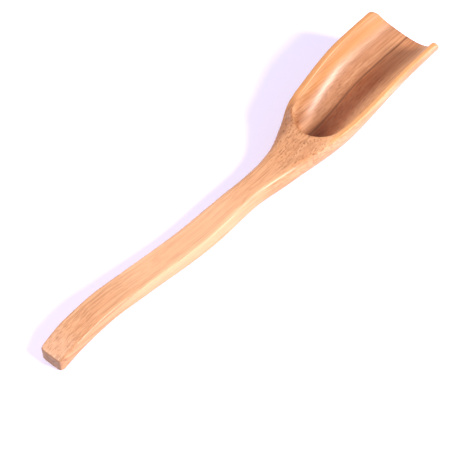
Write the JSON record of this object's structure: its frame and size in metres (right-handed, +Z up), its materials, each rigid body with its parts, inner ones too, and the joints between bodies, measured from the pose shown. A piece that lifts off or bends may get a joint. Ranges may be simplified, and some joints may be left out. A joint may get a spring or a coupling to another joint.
{
  "type": "tea scoop",
  "caption": "Hand scoop for loose tea leaves, carved from glued bamboo strips, with an arched handle and a deep, open-ended round bowl.",
  "frame": {"origin": "on the table, under the middle of the overall box", "axes": "+X from the handle's butt to the lip, +Y to the left, +Z up, hollow side up"},
  "size_m": [0.18, 0.0304, 0.0231],
  "materials": {
    "centre_bamboo": "clear gloss lacquer over carbonised bamboo, fine straight grain",
    "inner_bamboo": "clear gloss lacquer over carbonised bamboo, a node scar at the neck",
    "outer_bamboo": "clear gloss lacquer over carbonised bamboo, broad mottled figure"
  },
  "bodies": {
    "root": {"centre_strip": "centre_bamboo", "left_inner_strip": "inner_bamboo", "right_inner_strip": "inner_bamboo", "left_outer_strip": "outer_bamboo", "right_outer_strip": "outer_bamboo"}
  },
  "joints": []
}
